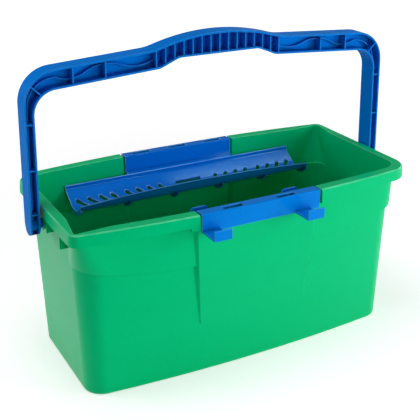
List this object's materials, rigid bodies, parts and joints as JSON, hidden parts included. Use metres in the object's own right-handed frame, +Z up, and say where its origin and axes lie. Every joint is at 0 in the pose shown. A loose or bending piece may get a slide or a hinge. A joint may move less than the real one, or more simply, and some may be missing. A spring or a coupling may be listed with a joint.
{
  "type": "window cleaning bucket",
  "caption": "Long rectangular cleaning bucket with bowed sides, a ribbed bail handle, a lift-off drain sieve on the rear rim and a lift-off tool holder with hooks on the front rim.",
  "frame": {"origin": "centre of the tub's base, on the floor", "axes": "+X along the bucket's length, +Y to the back (the sieve's side), +Z up"},
  "size_m": [0.5362, 0.2866, 0.4341],
  "materials": {
    "tub_green": "semi-gloss moulded polypropylene, green",
    "handle_blue": "semi-gloss moulded polypropylene, blue",
    "sieve_blue": "semi-gloss moulded polypropylene, blue",
    "holder_blue": "semi-gloss moulded polypropylene, blue"
  },
  "bodies": {
    "tub": {"tub": "tub_green"},
    "bail": {"bail_handle": "handle_blue"},
    "sieve": {"sieve": "sieve_blue"},
    "holder": {"tool_holder": "holder_blue"}
  },
  "joints": [
    {"name": "bail_swing", "type": "hinge", "parent": "tub", "child": "bail", "pos_m": [0, 0, 0.214], "axis": [1, 0, 0], "range_deg": [-135, 135]},
    {"name": "sieve_lift", "type": "slide", "parent": "tub", "child": "sieve", "axis": [0, 0, 1], "range_m": [0, 0.15]},
    {"name": "holder_lift", "type": "slide", "parent": "tub", "child": "holder", "axis": [0, 0, 1], "range_m": [0, 0.1]}
  ]
}
